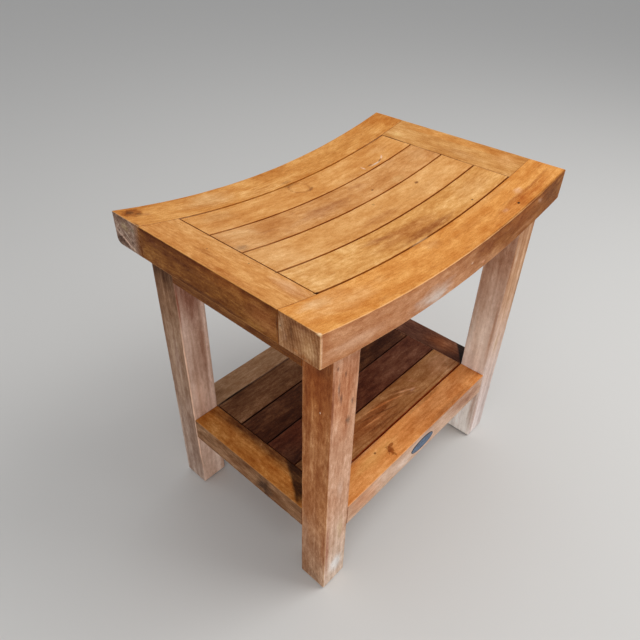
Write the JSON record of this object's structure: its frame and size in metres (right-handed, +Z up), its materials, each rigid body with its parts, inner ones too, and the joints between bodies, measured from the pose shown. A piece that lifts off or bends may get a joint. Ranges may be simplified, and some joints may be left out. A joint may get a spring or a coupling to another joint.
{
  "type": "shower bench",
  "caption": "Low teak shower bench with a dished slatted seat on square legs and a slatted shelf low between the legs.",
  "frame": {"origin": "on the floor, under the middle of the bench", "axes": "+X along the seat from its left end to its right end, +Y from the front to the back, +Z up"},
  "size_m": [0.46, 0.305, 0.454],
  "materials": {
    "seat_frame_teak": "oiled and worn, satin",
    "seat_slat_teak": "oiled and worn, satin",
    "leg_teak": "weathered, matt",
    "apron_teak": "oiled, matt",
    "shelf_frame_teak": "oiled and worn, satin",
    "shelf_slat_teak": "oiled, satin",
    "batten_teak": "sawn, matt",
    "peg_teak": "turned, matt",
    "screw_steel": "stainless, brushed",
    "pad_rubber": "matt",
    "plate_enamel": "worn enamel, satin"
  },
  "bodies": {
    "root": {"seat_rail_front": "seat_frame_teak", "seat_rail_back": "seat_frame_teak", "seat_cross_rail_left": "seat_frame_teak", "seat_cross_rail_right": "seat_frame_teak", "seat_slat_1": "seat_slat_teak", "seat_slat_2": "seat_slat_teak", "seat_slat_3": "seat_slat_teak", "seat_slat_4": "seat_slat_teak", "seat_batten": "batten_teak", "seat_batten_screws": "screw_steel", "leg_tenon_pegs": "peg_teak", "cross_rail_pegs": "peg_teak", "leg_front_left": "leg_teak", "leg_front_right": "leg_teak", "leg_back_left": "leg_teak", "leg_back_right": "leg_teak", "apron_left": "apron_teak", "apron_right": "apron_teak", "shelf_rail_front": "shelf_frame_teak", "shelf_rail_back": "shelf_frame_teak", "shelf_end_rail_left": "shelf_frame_teak", "shelf_end_rail_right": "shelf_frame_teak", "shelf_slat_1": "shelf_slat_teak", "shelf_slat_2": "shelf_slat_teak", "shelf_slat_3": "shelf_slat_teak", "shelf_slat_4": "shelf_slat_teak", "shelf_batten": "batten_teak", "shelf_batten_screws": "screw_steel", "foot_pad_front_left": "pad_rubber", "foot_pad_front_right": "pad_rubber", "foot_pad_back_left": "pad_rubber", "foot_pad_back_right": "pad_rubber", "oval_plate": "plate_enamel"}
  },
  "joints": []
}
